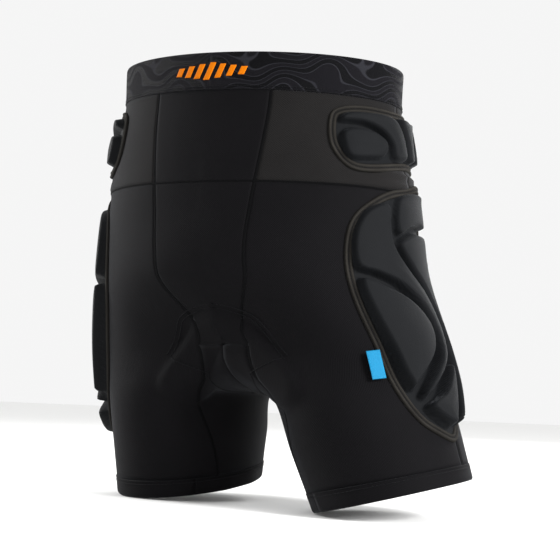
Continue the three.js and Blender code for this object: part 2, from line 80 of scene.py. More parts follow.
trunk_rows = [
    {
        "down": share * seat_drop,
        "half": mix(waist_half_width, seat_half_width, wide),
        "front": mix(waist_depth, seat_depth_front, front),
        "back": mix(waist_depth + 1, seat_depth_back, back),
        "lean": lean,
        "power": power,
    }
    for share, wide, front, back, lean, power in (
        (0, 0, 0, 0, 0, 1),
        (0.19, -0.08, 0.1, 0.1, 0, 1),
        (0.4, 0.35, 0.37, 0.38, 0, 0.98),
        (0.7, 0.95, 0.79, 0.76, 2, 0.96),
        (1, 1, 1, 1, 6, 0.93),
    )
]
crotch = {"lean": 21, "front": -84, "back": 98, "front_lift": 6, "back_lift": 20, "sag": 48}
legs = {
    1: {"top": (115, -9), "foot": (62, -21, -132), "hem": (0.242, 0.06, -0.968)},
    -1: {"top": (-77, 8), "foot": (-2, 10, -138), "hem": (0.064, 0.152, -0.985)},
}
leg_rows = (0.3, 0.633, 1)
inner_phase = math.radians(128)
outer_steps, inner_steps = 48, 16
knots = np.array([r["down"] for r in trunk_rows] + [crotch_drop + w * leg_length for w in (0, *leg_rows)])
crotch_row = len(trunk_rows)


def even_steps(points, steps):
    run = np.concatenate([[0], np.cumsum(np.linalg.norm(np.diff(points, axis=0), axis=1))])
    at = np.linspace(0, run[-1], steps + 1)
    return columns(*(np.interp(at, run, points[:, k]) for k in range(3)))


def trunk_section(side, row):
    t = np.linspace(0, math.pi, 401)
    c, s = np.cos(t), np.clip(np.sin(t), 0, 1)
    tilt = 1 - np.clip((row["down"] - band_height) / (seat_drop - band_height), 0, 1)
    x = row["lean"] + side * row["half"] * s ** row["power"]
    y = np.where(c > 0, -row["front"], row["back"]) * np.abs(c) ** row["power"]
    return columns(x, y, -row["down"] - tilt * math.tan(waist_tilt) * x)


def leg_section(side, share, angle):
    leg = legs[side]
    centre = np.array([*leg["top"], -crotch_drop]) + np.array(leg["foot"], float) * share * leg_length / 150
    turn = share * share * (3 - 2 * share) * 0.6 + share * 0.4
    axis = unit(mix(np.array([0, 0, -1.0]), np.array(leg["hem"]), turn))
    out = unit(np.array([side, 0, 0]) - axis * side * axis[0])
    back = np.cross(axis, out)
    back = back if back[1] > 0 else -back
    wide, deep = (mix(thigh_radius[k], hem_radius[k], share) for k in (0, 1))
    return centre + np.outer(np.cos(angle) * wide, out) + np.outer(np.sin(angle) * deep, back)


def crotch_section(side):
    t = np.linspace(0, 1, 401)
    c, s = np.cos(math.pi * t), np.clip(np.sin(math.pi * t), 0, 1)
    reach = np.where(c > 0, crotch["front"], crotch["back"]) * np.abs(c) ** 0.9
    z = mix(crotch["front_lift"], crotch["back_lift"], t) - crotch_drop - 6 * s
    trunk = columns(crotch["lean"] + side * seat_half_width * s**0.9, reach, z)
    return mix(trunk, leg_section(side, 0, inner_phase * (2 * t - 1)), 0.95 * s[:, None] ** 0.6)


def crotch_line():
    t = np.linspace(0, 1, 201)
    middle, half = (crotch["front"] + crotch["back"]) / 2, (crotch["back"] - crotch["front"]) / 2
    z = mix(crotch["back_lift"], crotch["front_lift"], t) - crotch_drop - crotch["sag"] * np.sin(math.pi * t)
    return columns(crotch["lean"], middle + half * np.cos(math.pi * t), z)


def row_slopes(rows, at):
    gaps = [(rows[i + 1] - rows[i]) / (at[i + 1] - at[i]) for i in range(len(rows) - 1)]
    inside = []
    for i in range(1, len(rows) - 1):
        a, b = at[i] - at[i - 1], at[i + 1] - at[i]
        inside.append(gaps[i - 1] * b / (a + b) + gaps[i] * a / (a + b))
    return np.array([gaps[0], *inside, gaps[-1]])


def past_ends(rows):
    first, last = 2 * rows[:, :1] - rows[:, 1:2], 2 * rows[:, -1:] - rows[:, -2:-1]
    return np.concatenate([first, rows, last], axis=1)


def half_body(side):
    outer = [even_steps(trunk_section(side, row), outer_steps) for row in trunk_rows]
    outer.append(even_steps(crotch_section(side), outer_steps))
    inner = [even_steps(crotch_line(), inner_steps)]
    for share in leg_rows:
        round_outside = np.linspace(-inner_phase, inner_phase, 401)
        round_inside = np.linspace(inner_phase, 2 * math.pi - inner_phase, 201)
        outer.append(even_steps(leg_section(side, share, round_outside), outer_steps))
        inner.append(even_steps(leg_section(side, share, round_inside), inner_steps))
    outer, inner = np.array(outer), np.array(inner)
    outer_lean, inner_lean = row_slopes(outer, knots), row_slopes(inner, knots[crotch_row:])
    t = np.linspace(0, 1, inner_steps + 1)[:, None]
    at_end = mix(outer_lean[crotch_row][-1], outer_lean[crotch_row][0], t)
    inner_lean[0] = mix(np.array([side * 0.9, 0, -0.15]), at_end, np.abs(2 * t - 1) ** 4)
    return [(past_ends(a), past_ends(b), k) for a, b, k in (
        (outer, outer_lean, knots), (inner, inner_lean, knots[crotch_row:]))]


halves = {side: half_body(side) for side in (1, -1)}


def between(a, b, c, d, t):
    """A smooth curve from b to c that also heeds the points before and after them."""
    return 0.5 * (2 * b + (c - a) * t + (2 * a - 5 * b + 4 * c - d) * t**2 + (3 * b - a - 3 * c + d) * t**3)


def along_row(rows, i, x):
    k = np.minimum(x.astype(int), rows.shape[1] - 4)
    return between(*(rows[i, k + n] for n in range(4)), (x - k)[:, None])


def surface(side, u, down):
    turn = np.where(down > crotch_drop, np.mod(u, 2), u)
    under = turn > 1
    out = np.zeros(u.shape + (3,))
    for mask, (rows, lean, at) in zip((~under, under), halves[side]):
        if not mask.any():
            continue
        x = np.clip(turn[mask] - under[mask], 0, 1) * (rows.shape[1] - 3)
        d = down[mask]
        i = np.clip(np.searchsorted(at, d, side="right") - 1, 0, len(at) - 2)
        h = (at[i + 1] - at[i])[:, None]
        t = (d - at[i])[:, None] / h
        out[mask] = (
            along_row(rows, i, x) * (2 * t**3 - 3 * t * t + 1)
            + along_row(lean, i, x) * (t**3 - 2 * t * t + t) * h
            + along_row(rows, i + 1, x) * (3 * t * t - 2 * t**3)
            + along_row(lean, i + 1, x) * (t**3 - t * t) * h
        )
    return out


def outward(side, u, down):
    under = (u > 1) & (down >= crotch_drop)
    on_leg = down > crotch_drop
    step = 0.004
    ahead = np.where(on_leg | under, u + step, np.minimum(u + step, 1))
    behind = np.where(on_leg | under, u - step, np.maximum(u - step, 0))
    level = down + np.where(under & ~on_leg, 0.01, 0)
    across = surface(side, ahead, level) - surface(side, behind, level)
    top = np.where(under, crotch_drop + 0.01, 0)
    along = surface(side, u, down + 1) - surface(side, u, np.maximum(down - 1, top))
    return unit(np.cross(along, across) * side)


girth_depths = np.linspace(0, hem_edge, 45)
girths = {
    side: [
        np.linalg.norm(np.diff(surface(side, np.linspace(0, 1, 61), np.full(61, d)), axis=0), axis=1).sum()
        for d in girth_depths
    ]
    for side in (1, -1)
}


def girth(side, down):
    down = np.clip(down, 0, hem_edge)
    left, right = (np.interp(down, girth_depths, girths[s]) for s in (1, -1))
    return np.where(np.asarray(side) > 0, left, right)


# The worn cloth's folds: a roll between the hip pad and the thigh pad with small folds on it, and rays
# out from the crotch. The seat liner pushes the cloth out inside two arches, with a dip where it is sewn.
roll_level, roll_height, roll_reach = 119, 5.5, 60
hip_folds = ((112, 1.8, 0.05), (118.5, -1.8, 0.02), (125, 1.8, -0.04))    # level, height and slant
ray_levels, ray_reach, ray_height = (284, 262), 78, 0.5
front_arch_half, front_arch_level = 58, 302
back_arch_half, back_arch_level = 52, 300
liner_push, sewn_dip = 4.6, 1.0


def near(x, centre, width):
    return np.exp(-(((x - centre) / width) ** 2))


def ripple(side, u, down):
    """How far the worn cloth stands off its smooth shape: folds at the hip and by the crotch, and the
    padding between the legs pushing it out."""
    g = girth(side, down)
    across = (u - 0.5) * g
    from_front, from_back = np.abs(np.mod(u + 1, 2) - 1) * g, np.abs(np.mod(u, 2) - 1) * g
    height = 0.35 * np.sin(across / 23 + 1.3 * side) * np.sin(down / 31 + 0.7) * near(down, 200, 130)
    height = height + roll_height * near(down, roll_level, 11) * near(across, 0, roll_reach)
    for centre, rise, slant in hip_folds:
        height = height + rise * near(down, centre + slant * across, 2.8) * near(across, 0, 66)
    for from_centre, level in zip((from_front, from_back), ray_levels):
        reach = np.hypot(from_centre + 12, level - down)
        angle = np.arctan2(level - down, from_centre + 12)
        rays = np.sin(angle * 9 + side) * near(reach, ray_reach, 26)
        rays = rays * (1 - smooth(down, level - 20, level)) * smooth(from_centre, 20, 60)
        height = height + ray_height * rays
    front_end = np.hypot(from_front / front_arch_half, (down - front_arch_level) / 47)
    back_end = np.hypot(from_back / back_arch_half, (down - back_arch_level) / 54)
    below = np.where(down > crotch_drop, smooth(down, 322, 334), 1) + (np.mod(u, 2) < 1)
    past_arches = np.minimum(smooth(front_end, 0.8, 1), smooth(back_end, 0.8, 1))
    padding = 1 - np.minimum(past_arches, np.minimum(below, 1))
    on_trunk = down < crotch_drop
    sewn = near(front_end, 1.0, 0.045) * on_trunk + near(back_end, 1.0, 0.045) * on_trunk
    return height + liner_push * padding - sewn_dip * np.minimum(sewn, 1)


def lifted(side, u, down, height):
    """A place at a height over the shell, with the folds and padding of the worn cloth."""
    out = np.zeros(u.shape + (3,))
    for half in (1, -1):
        m = side == half
        if m.any():
            lift = (height[m] + ripple(half, u[m], down[m]))[:, None]
            out[m] = surface(half, u[m], down[m]) + outward(half, u[m], down[m]) * lift
    return out


# The cloth spans a crease: each place is the weighted mean of the places this far beside it.
span_reach, span_step = 27, 3
span_steps = range(span_step - span_reach, span_reach, span_step)
span_total = sum(span_reach - abs(step) for step in span_steps)
span_weights = [(step, (span_reach - abs(step)) / span_total) for step in span_steps]


def on_shell(side, u, down, height):
    """A place on the worn cloth. Across the front and back centre lines the cloth spans the crease softly."""
    side, u, down, height = (np.array(v) for v in np.broadcast_arrays(
        *(np.asarray(v, float) for v in (side, u, down, height))))
    out = lifted(side, u, down, height)
    for base in (0, 1):
        from_centre = np.abs(base - u) * girth(side, down)
        soft = (1 - smooth(from_centre, 16, 50)) * smooth(down, 180, 235) * (1 - smooth(down, 280, 289))
        m = soft > 0.001
        if not m.any():
            continue
        x = side[m] * from_centre[m]
        total = 0
        for step, weight in span_weights:
            beside = x + step
            near_side = np.where(beside < 0, -1.0, 1.0)
            near_u = np.abs(base - np.abs(beside) / girth(near_side, down[m]))
            total = total + lifted(near_side, near_u, down[m], height[m]) * weight
        out[m] = mix(out[m], total, soft[m][:, None])
    return out


def beside_side(side):
    return lambda across, down, height: on_shell(side, 0.5 + across / girth(side, down), down, height)


def beside_spine(across, down, height):
    side = np.where(across < 0, -1, 1)
    return on_shell(side, 1 - np.abs(across) / girth(side, down), down, height)


def beside_front(across, down, height):
    side = np.where(across < 0, -1, 1)
    return on_shell(side, np.abs(across) / girth(side, down), down, height)


# ---- making meshes ----
def finished(name, bm, body, material, replaces=()):
    mesh = bpy.data.meshes.new(name)
    bm.to_mesh(mesh)
    bm.free()
    mesh.shade_smooth()
    mesh.materials.append(material)
    piece = bpy.data.objects.new(name, mesh)
    bpy.context.scene.collection.objects.link(piece)
    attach(piece, body)
    if replaces:
        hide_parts(*replaces)
    return piece


def shaped(steps, place, chart, closed=(False, False), tube=False):
    """A grid of cloth laid by place(i, j, lift), with chart(i, j) as its UV map in millimetres."""
    bm = bmesh.new()
    bmesh.ops.create_grid(bm, x_segments=steps[0], y_segments=steps[1], size=0.5)
    flat = np.array([v.co[:2] for v in bm.verts])
    i, j = ((flat - flat.min(0)) / (flat.max(0) - flat.min(0))).T
    laid = place(i, j, 0.0)
    map_at = chart(i, j) * MM
    uv = bm.loops.layers.uv.new("Cloth")
    for v, p in zip(bm.verts, laid * MM):
        v.co = p
    for f in bm.faces:
        for corner in f.loops:
            corner[uv].uv = map_at[corner.vert.index]
    bm.normal_update()
    if tube:
        bmesh.ops.remove_doubles(bm, verts=bm.verts, dist=1e-6)
        bmesh.ops.holes_fill(bm, edges=[e for e in bm.edges if e.is_boundary], sides=0)
        bmesh.ops.recalc_face_normals(bm, faces=bm.faces)
        return bm
    away = place(i, j, 1.0) - laid
    facing = sum(v.normal.dot(Vector(a)) for v, a in zip(bm.verts, away))
    if facing < 0:
        bmesh.ops.reverse_faces(bm, faces=bm.faces)
    if any(closed):
        bmesh.ops.remove_doubles(bm, verts=bm.verts, dist=1e-6)
    return bm


def walled(piece, wall):
    thick = piece.modifiers.new("Cloth wall", "SOLIDIFY")
    thick.thickness = wall * MM
    thick.offset = -1
    thick.use_even_offset = False
    return piece


def line_length(line):
    return np.linalg.norm(np.diff(line(np.linspace(0, 1, 400), 0.0), axis=0), axis=1).sum()


def swept(line, section, across_steps, along_steps, closed=False, tube=False):
    """A narrow strip along line(t, height). section(i, run) gives its sideways place and height."""
    length = line_length(line)

    def along(t, height):
        return line(np.mod(t, 1) if closed else np.clip(t, 0, 1), height)

    def place(i, j, lift):
        step = 2 / length
        at = along(j, 0.0)
        up = unit(along(j, 1.0) - at)
        forward = unit(along(j + step, 0.0) - along(j - step, 0.0))
        w, h = section(i, j * length)
        return at + np.cross(up, forward) * np.asarray(w)[:, None] + up * np.asarray(h + lift)[:, None]

    def chart(i, j):
        return columns(i * 10, j * length)

    return shaped((across_steps, along_steps), place, chart, (False, closed), tube)


def stitched(line, offset, length, pitch, closed=False, thick=0.38, height=0.25):
    """A row of thread, one hump for each stitch."""
    count = max(4, round(length / pitch))

    def section(i, run):
        turn = 2 * math.pi * i
        hump = np.abs(np.sin(math.pi * run / (length / count))) ** 0.7
        return offset + thick * np.cos(turn), height * (2.2 * hump - 1) + thick * np.sin(turn)

    return swept(line, section, 6, count * 5, closed, tube=True)


def joined(parts):
    whole = bmesh.new()
    whole.loops.layers.uv.new("Cloth")
    for part in parts:
        mesh = bpy.data.meshes.new("part")
        part.to_mesh(mesh)
        part.free()
        whole.from_mesh(mesh)
        bpy.data.meshes.remove(mesh)
    return whole


# ---- materials ----
def ink(code):
    """An sRGB hex colour as linear RGBA."""
    parts = [int(code[k:k + 2], 16) / 255 for k in (1, 3, 5)]
    return (*[c / 12.92 if c <= 0.04045 else ((c + 0.055) / 1.055) ** 2.4 for c in parts], 1)


def add(tree, kind, inputs=None, out=0, **settings):
    """Adds a shader node with its settings and links, and returns one of its outputs."""
    made = tree.nodes.new("ShaderNode" + kind)
    for key, value in settings.items():
        setattr(made, key, value)
    for key, value in (inputs or {}).items():
        if isinstance(value, bpy.types.NodeSocket):
            tree.links.new(value, made.inputs[key])
        else:
            made.inputs[key].default_value = value
    return made.outputs[out]


def cloth_axes(tree):
    """The two directions of the cloth's own map, in millimetres."""
    scaled = add(tree, "Mapping", {"Vector": add(tree, "TexCoord", out="UV"), "Scale": (1 / MM, 1 / MM, 1)})
    parts = add(tree, "SeparateXYZ", {0: scaled}).node
    return parts.outputs[0], parts.outputs[1]


def ridges(tree, along, pitch):
    """A wave from -1 to 1 with one crest in each pitch, in millimetres."""
    turned = add(tree, "Math", {0: along, 1: 2 * math.pi / pitch}, operation="MULTIPLY")
    return add(tree, "Math", {0: turned}, operation="SINE")


def crossed(tree, over, down):
    """Two sets of ridges crossed into a weave from 0 to 1."""
    loops = add(tree, "Math", {0: over, 1: down}, operation="MULTIPLY")
    return add(tree, "Math", {0: loops, 1: 0.5, 2: 0.5}, operation="MULTIPLY_ADD")


def new_material(name):
    material = bpy.data.materials.new(name)
    material.use_nodes = True
    material.node_tree.nodes.clear()
    return material, material.node_tree


def dressed(tree, colour, height, depth, roughness, sheen=0.0, tint="#ffffff", level=0.05):
    """The cloth shader that all the fabrics share: colour, a relief depth in mm and a soft sheen."""
    bump = add(tree, "Bump", {"Height": height, "Distance": depth * MM, "Strength": 1.0})
    shader = add(tree, "BsdfPrincipled", {
        "Base Color": colour, "Roughness": roughness, "Normal": bump, "Specular IOR Level": level,
        "Sheen Weight": sheen, "Sheen Roughness": 0.3, "Sheen Tint": ink(tint)})
    tree.links.new(shader, tree.nodes.new("ShaderNodeOutputMaterial").inputs["Surface"])


def knit_material(name, dark, light, wale, sheen, roughness, relief, mottle=0.5):
    """Knitted polyester and elastane. wale is the loop spacing in mm, drawn a little coarse to show."""
    material, tree = new_material(name)
    x, y = cloth_axes(tree)
    weave = crossed(tree, ridges(tree, x, wale), ridges(tree, y, wale * 0.8))
    cloudy = add(tree, "TexNoise", {"Vector": add(tree, "TexCoord", out="Object"), "Scale": 22, "Detail": 4})
    fuzz = add(tree, "TexNoise", {"Vector": add(tree, "TexCoord", out="Object"), "Scale": 900, "Detail": 2})
    shade = add(tree, "Math", {0: cloudy, 1: mottle, 2: 0.5 - mottle / 2}, operation="MULTIPLY_ADD")
    shade = add(tree, "Math", {0: weave, 1: 0.35, 2: shade}, operation="MULTIPLY_ADD")
    colour = add(tree, "Mix", {0: shade, 6: ink(dark), 7: ink(light)}, out=2, data_type="RGBA")
    height = add(tree, "Math", {0: fuzz, 1: 0.5, 2: weave}, operation="MULTIPLY_ADD")
    rough = add(tree, "MapRange", {0: weave, 1: 0, 2: 1, 3: roughness + 0.08, 4: roughness - 0.06})
    dressed(tree, colour, height, relief, rough, sheen, "#c9cdd6")
    return material


def jacquard_elastic(turn):
    """Jacquard elastic webbing: near-black waves woven into a charcoal ground, with grey outlines."""
    material, tree = new_material("jacquard elastic webbing")
    x, y = cloth_axes(tree)
    repeat = turn / 7
    phase = add(tree, "Math", {0: y, 1: 2 * math.pi / 15}, operation="MULTIPLY")
    for times, slope, start, reach in ((1, 0.11, 0.0, 3.4), (2, -0.09, 1.9, 1.7), (3, 0.05, 0.6, 0.8)):
        lean = add(tree, "Math", {0: y, 1: slope, 2: start}, operation="MULTIPLY_ADD")
        along = add(tree, "Math", {0: x, 1: 2 * math.pi * times / repeat, 2: lean}, operation="MULTIPLY_ADD")
        swing = add(tree, "Math", {0: along}, operation="SINE")
        phase = add(tree, "Math", {0: swing, 1: reach, 2: phase}, operation="MULTIPLY_ADD")
    wave = add(tree, "Math", {0: phase}, operation="SINE")
    band = add(tree, "MapRange", {0: wave, 1: 0.05, 2: 0.2, 3: 0, 4: 1})
    rim = add(tree, "Math", {0: wave, 1: -0.05}, operation="SUBTRACT")
    rim = add(tree, "Math", {0: rim}, operation="ABSOLUTE")
    rim = add(tree, "MapRange", {0: rim, 1: 0.12, 2: 0.3, 3: 1, 4: 0})
    weave = crossed(tree, ridges(tree, y, 1.3), ridges(tree, x, 1.1))
    ground = add(tree, "Mix", {0: weave, 6: ink("#0a0a0c"), 7: ink("#121115")}, out=2, data_type="RGBA")
    waved = add(tree, "Mix", {0: band, 6: ground, 7: ink("#050507")}, out=2, data_type="RGBA")
    edged = add(tree, "Mix", {0: rim, 6: waved, 7: ink("#202024")}, out=2, data_type="RGBA")
    raised = add(tree, "Math", {0: band, 1: -0.6, 2: weave}, operation="MULTIPLY_ADD")
    rough = add(tree, "MapRange", {0: band, 1: 0, 2: 1, 3: 0.78, 4: 0.6})
    dressed(tree, edged, raised, 0.25, rough, 0.02, "#c9cdd6")
    return material


def thread_material():
    """Black polyester sewing thread: tight, slightly shiny twists."""
    material, tree = new_material("polyester sewing thread")
    twist = add(tree, "TexWave", {"Vector": add(tree, "TexCoord", out="UV"), "Scale": 300, "Distortion": 0.5},
                out=1, bands_direction="DIAGONAL")
    colour = add(tree, "Mix", {0: twist, 6: ink("#08080a"), 7: ink("#141416")}, out=2, data_type="RGBA")
    dressed(tree, colour, twist, 0.1, 0.5, 0.02)
    return material


def binding_material():
    """Taupe grosgrain binding tape: crosswise ribs, with a painted highlight along its two raised ridges, in
    patches.
    """
    material, tree = new_material("grosgrain binding tape")
    x, y = cloth_axes(tree)
    ribs = add(tree, "Math", {0: ridges(tree, y, 1.2), 1: 0.5, 2: 0.5}, operation="MULTIPLY_ADD")
    # Painted highlight: the colour is lighter along the tape's two raised ridges, broken into patches by
    # noise.
    ridge = add(tree, "Math", {0: x, 1: 4 * math.pi / 10}, operation="MULTIPLY")
    ridge = add(tree, "Math", {0: ridge}, operation="COSINE")
    ridge = add(tree, "Math", {0: ridge, 1: -0.5, 2: 0.5}, operation="MULTIPLY_ADD")
    highlight_patches = add(tree, "TexNoise", {"Vector": add(tree, "TexCoord", out="Object"), "Scale": 60, "Detail": 3})
    shade = add(tree, "Math", {0: ridge, 1: highlight_patches}, operation="MULTIPLY")
    shade = add(tree, "Math", {0: ribs, 1: 0.25, 2: shade}, operation="MULTIPLY_ADD")
    colour = add(tree, "Mix", {0: shade, 6: ink("#131211"), 7: ink("#2b2926")}, out=2, data_type="RGBA")
    dressed(tree, colour, ribs, 0.25, 0.8, 0.02, "#d8d2c4")
    return material


def liner_material():
    """Brushed fleece over the seat pad: a short soft nap that catches light at its edge."""
    material, tree = new_material("brushed liner fleece")
    place = add(tree, "TexCoord", out="Object")
    nap = add(tree, "TexNoise", {"Vector": place, "Scale": 700, "Detail": 4})
    soft = add(tree, "TexNoise", {"Vector": place, "Scale": 40, "Detail": 3})
    colour = add(tree, "Mix", {0: soft, 6: ink("#141416"), 7: ink("#29292c")}, out=2, data_type="RGBA")
    dressed(tree, colour, nap, 0.5, 0.95, 0.15, "#b8bcc4")
    return material


def ribbon_material():
    """Cyan woven satin ribbon: fine crosswise weave."""
    material, tree = new_material("woven satin ribbon")
    x, y = cloth_axes(tree)
    weave = crossed(tree, ridges(tree, x, 0.9), ridges(tree, y, 0.7))
    colour = add(tree, "Mix", {0: weave, 6: ink("#0b6187"), 7: ink("#1279a3")}, out=2, data_type="RGBA")
    dressed(tree, colour, weave, 0.12, 0.55, 0.0, "#ffffff", 0.15)
    return material


def print_material():
    """Orange silicone print: rubbery, smooth, a little glossier than the webbing under it."""
    material, tree = new_material("silicone print")
    grain = add(tree, "TexNoise", {"Vector": add(tree, "TexCoord", out="Object"), "Scale": 1500, "Detail": 2})
    colour = add(tree, "Mix", {0: grain, 6: ink("#b45c00"), 7: ink("#c86c04")}, out=2, data_type="RGBA")
    dressed(tree, colour, grain, 0.06, 0.5)
    return material


turn_of_waist = float(girth(1, 20.0) + girth(-1, 20.0))
shell_knit = knit_material("stretch shell knit", "#040405", "#0c0b0d", 2.2, 0.08, 0.72, 0.22)
mesh_knit = knit_material("open stretch mesh knit", "#0b0a0a", "#1a1919", 2.6, 0.12, 0.76, 0.3)
cover_knit = knit_material("laminated pad cover knit", "#08090a", "#131416", 1.8, 0.05, 0.6, 0.18, 0.4)
elastic = jacquard_elastic(turn_of_waist)
thread = thread_material()
tape = binding_material()
fleece = liner_material()
ribbon = ribbon_material()
silicone = print_material()

# ---- waistband ----
band_up = np.array([math.sin(waist_tilt), 0, math.cos(waist_tilt)])


def on_band(run, down, height):
    """A place on the band: run goes 0 to 1 once round, from the front centre by the left side."""
    side = np.where(run < 0.5, 1, -1)
    u = 1 - np.abs(2 * run - 1)
    out = np.zeros(run.shape + (3,))
    for half in (1, -1):
        m = side == half
        if m.any():
            away = outward(half, u[m], down[m])
            away = unit(away - (away @ band_up)[:, None] * band_up)
            out[m] = surface(half, u[m], down[m]) + away * height[m][:, None]
    return out


band_seam_level = 33.5
band_row_levels = (34.6, 37.4)


def band_face(i, j, lift):
    # The flat band with rounded edges, and a shallow roll where the lower edge is sewn.
    down = 0.4 + j * (band_height - 0.9)
    near_edge = np.minimum(down, band_height - down)
    height = 0.5 - 0.7 * near(near_edge, 0, 1.3) + 0.25 * near(down, band_seam_level, 1.2)
    height = height + 0.3 * np.sin(2 * math.pi * i * 9) * np.sin(math.pi * j)
    return on_band(i, down, height + lift)


band = shaped((260, 26), band_face, lambda i, j: columns(i * turn_of_waist, j * band_height), (True, False))
waistband = finished("waistband_webbing", band, "shorts", elastic, ["waistband"])
walled(waistband, band_wall)


def band_row(level):
    def line(t, height):
        return on_band(t, np.full(t.shape, level), np.full(t.shape, 0.45 + height))
    return stitched(line, 0, line_length(line), stitch_pitch, closed=True, thick=0.34)


finished("waistband_stitching", joined([band_row(level) for level in band_row_levels]), "shorts", thread)


bar_top, bar_bottom, bar_width, bar_slant, bar_spacing, bar_cut = 10.5, 28, 7, 0.45, 12, 1.5


def print_bar(place_in_row):
    """One leaning bar of the print at the front centre, shorter the further it is from the middle."""
    centre, cut = place_in_row * bar_spacing, abs(place_in_row) * bar_cut
    top, bottom = bar_top + cut, bar_bottom - cut

    def place(i, j, lift):
        down = mix(top, bottom, j)
        x = centre + (i - 0.5) * bar_width + bar_slant * (0.5 - j) * (bottom - top)
        g = girth(np.where(x < 0, -1, 1), down)
        run = np.mod(x / g / 2, 1)
        edge = np.minimum(np.minimum(i, 1 - i) * bar_width, np.minimum(j, 1 - j) * (bottom - top))
        return on_band(run, down, 1.15 - 0.6 * near(edge, 0, 0.5) + lift)

    return shaped((14, 14), place, lambda i, j: columns(i * bar_width, j * (bottom - top)))


bars = joined([print_bar(place_in_row) for place_in_row in range(-3, 4)])
walled(finished("waistband_front_print", bars, "shorts", silicone), 0.5)


# ---- shell panels ----
panel_pitch = 4.5     # the size of a panel's faces
edge_dip = 0.35       # how far a panel sinks at its seams


def front_half(down):
    half = mix(front_panel_half, front_panel_low, smooth(down, band_height, seat_drop))
    return mix(half, gusset_reach, smooth(down, seat_drop, crotch_drop))


def back_half(down):
    return mix(back_panel_half, gusset_reach, smooth(down, seat_drop, crotch_drop))


def fade(down):
    return np.clip((gusset_end - down) / gusset_reach, 0, 1)


def inward(down):
    return inseam_turn * smooth(down, gusset_end, hem_top)


def front_seam(side):
    return lambda down: front_half(down) * fade(down) / girth(side, down) - inward(down)


def back_seam(side):
    return lambda down: 1 - back_half(down) * fade(down) / girth(side, down) + inward(down)


def once_round(seam):
    """The same seam, reached by going round the inside of the leg."""
    return lambda down: 2 + seam(down)


def side_line(down):
    return np.full(np.shape(down), 0.5)


def row_length(side, start, end, down):
    row = on_shell(side, np.linspace(start, end, 61), np.full(61, down), 0.0)
    return float(np.linalg.norm(np.diff(row, axis=0), axis=1).sum())


def cloth_panel(name, side, start, end, top, bottom, material):
    widths = [row_length(side, start(d), end(d), d) for d in np.linspace(top, bottom, 9)]
    steps = (round(max(widths) / panel_pitch), round((bottom - top) / panel_pitch))

    def place(i, j, lift):
        down = mix(top, bottom, j)
        span = np.abs(end(down) - start(down)) * girth(side, down)
        edge = np.minimum(i, 1 - i) * span
        u = mix(start(down), end(down), i)
        return on_shell(side, u, down, lift - edge_dip * near(edge, 0, 2))

    def chart(i, j):
        down = mix(top, bottom, j)
        return columns(mix(start(down), end(down), i) * girth(side, down), down)

    bm = shaped(steps, place, chart)
    area = sum(f.calc_area() for f in bm.faces)
    piece = walled(finished(name + "_cloth", bm, "shorts", material, [name]), fabric)


def centre_panel(name, laid, half, top, bottom, material):
    width = 2 * max(half(d) for d in np.linspace(top, bottom, 9))

    def place(i, j, lift):
        down = mix(top, bottom, j)
        x = (2 * i - 1) * half(down)
        edge = half(down) - np.abs(x)
        return laid(x, down, lift - edge_dip * near(edge, 0, 2))

    def chart(i, j):
        down = mix(top, bottom, j)
        return columns((2 * i - 1) * half(down), down)

    bm = shaped((round(width / panel_pitch), round((bottom - top) / panel_pitch)), place, chart)
    area = sum(f.calc_area() for f in bm.faces)
    piece = walled(finished(name + "_cloth", bm, "shorts", material, [name]), fabric)


shell_top = band_height - 1.5
centre_panel("front_centre_panel", beside_front, front_half, shell_top, crotch_drop, shell_knit)
centre_panel("back_centre_panel", beside_spine, back_half, shell_top, crotch_drop, shell_knit)
sides = ((1, "left"), (-1, "right"))
for side, name in sides:
    front, back = front_seam(side), back_seam(side)
    cloth_panel("front_yoke_" + name, side, front, side_line, shell_top, yoke_drop, mesh_knit)
    cloth_panel("front_leg_" + name, side, front, side_line, yoke_drop, hem_top, shell_knit)
    cloth_panel("back_yoke_" + name, side, side_line, back, shell_top, yoke_drop, mesh_knit)
    cloth_panel("back_leg_" + name, side, side_line, back, yoke_drop, hem_top, shell_knit)
    cloth_panel("inner_leg_" + name, side, back, once_round(front), crotch_drop + 0.1, hem_top, shell_knit)


# ---- hems ----
hem_rows = (hem_top + 2.4 + 1.6, hem_top + 2.4 - 1.8)


def hem(side, name):
    def edge_line(t, height):
        return on_shell(side, 2 * np.mod(t, 1), np.full(t.shape, float(hem_edge)), height)

    turn = float(line_length(edge_line))

    def face(i, j, lift):
        down = mix(hem_top, hem_edge, j)
        roll = 1.1 * near(down, hem_edge, 1.4)
        height = 0.55 - roll + 0.25 * np.sin(2 * math.pi * 7 * i) * j
        return on_shell(side, 2 * i, down, height + lift)

    bm = shaped((120, 10), face, lambda i, j: columns(i * turn, hem_top + j * hem_height), (True, False))
    piece = finished(f"hem_{name}_fold", bm, "shorts", shell_knit, ["hem_" + name])
    walled(piece, hem_wall)
    rows = []
    for level in hem_rows:
        def line(t, height, level=level):
            return on_shell(side, 2 * np.mod(t, 1), np.full(t.shape, level), 0.5 + height)

        rows.append(stitched(line, 0, line_length(line), hem_stitch_pitch, closed=True, thick=0.36))
    finished(f"hem_{name}_stitching", joined(rows), "shorts", thread)


for side, name in sides:
    hem(side, name)


# ---- flatlock seams ----
seam_width, rung_pitch = 3.0, 2.6
side_seam_top = crotch_drop + 104


def flatlock(line):
    """A raised flat seam: a low rib of covering thread with a ladder of stitches."""
    length = line_length(line)

    def section(i, run):
        w = (i - 0.5) * seam_width
        edge = np.minimum(i, 1 - i) * 2
        rung = 0.12 * np.sin(2 * math.pi * run / rung_pitch)
        return w, -0.45 + 0.65 * np.sin(np.clip(edge * 1.6, 0, 1) * math.pi / 2) + rung * (edge > 0.3)

    return swept(line, section, 8, round(length / 0.9))


def yoke_line(t, height):
    level = np.full(t.shape, float(yoke_drop))
    return beside_front(mix(-front_half(level), front_half(level), t), level, height)


seam_knit = knit_material("flatlock cover stitch", "#020203", "#070708", 1.3, 0.0, 0.8, 0.2)


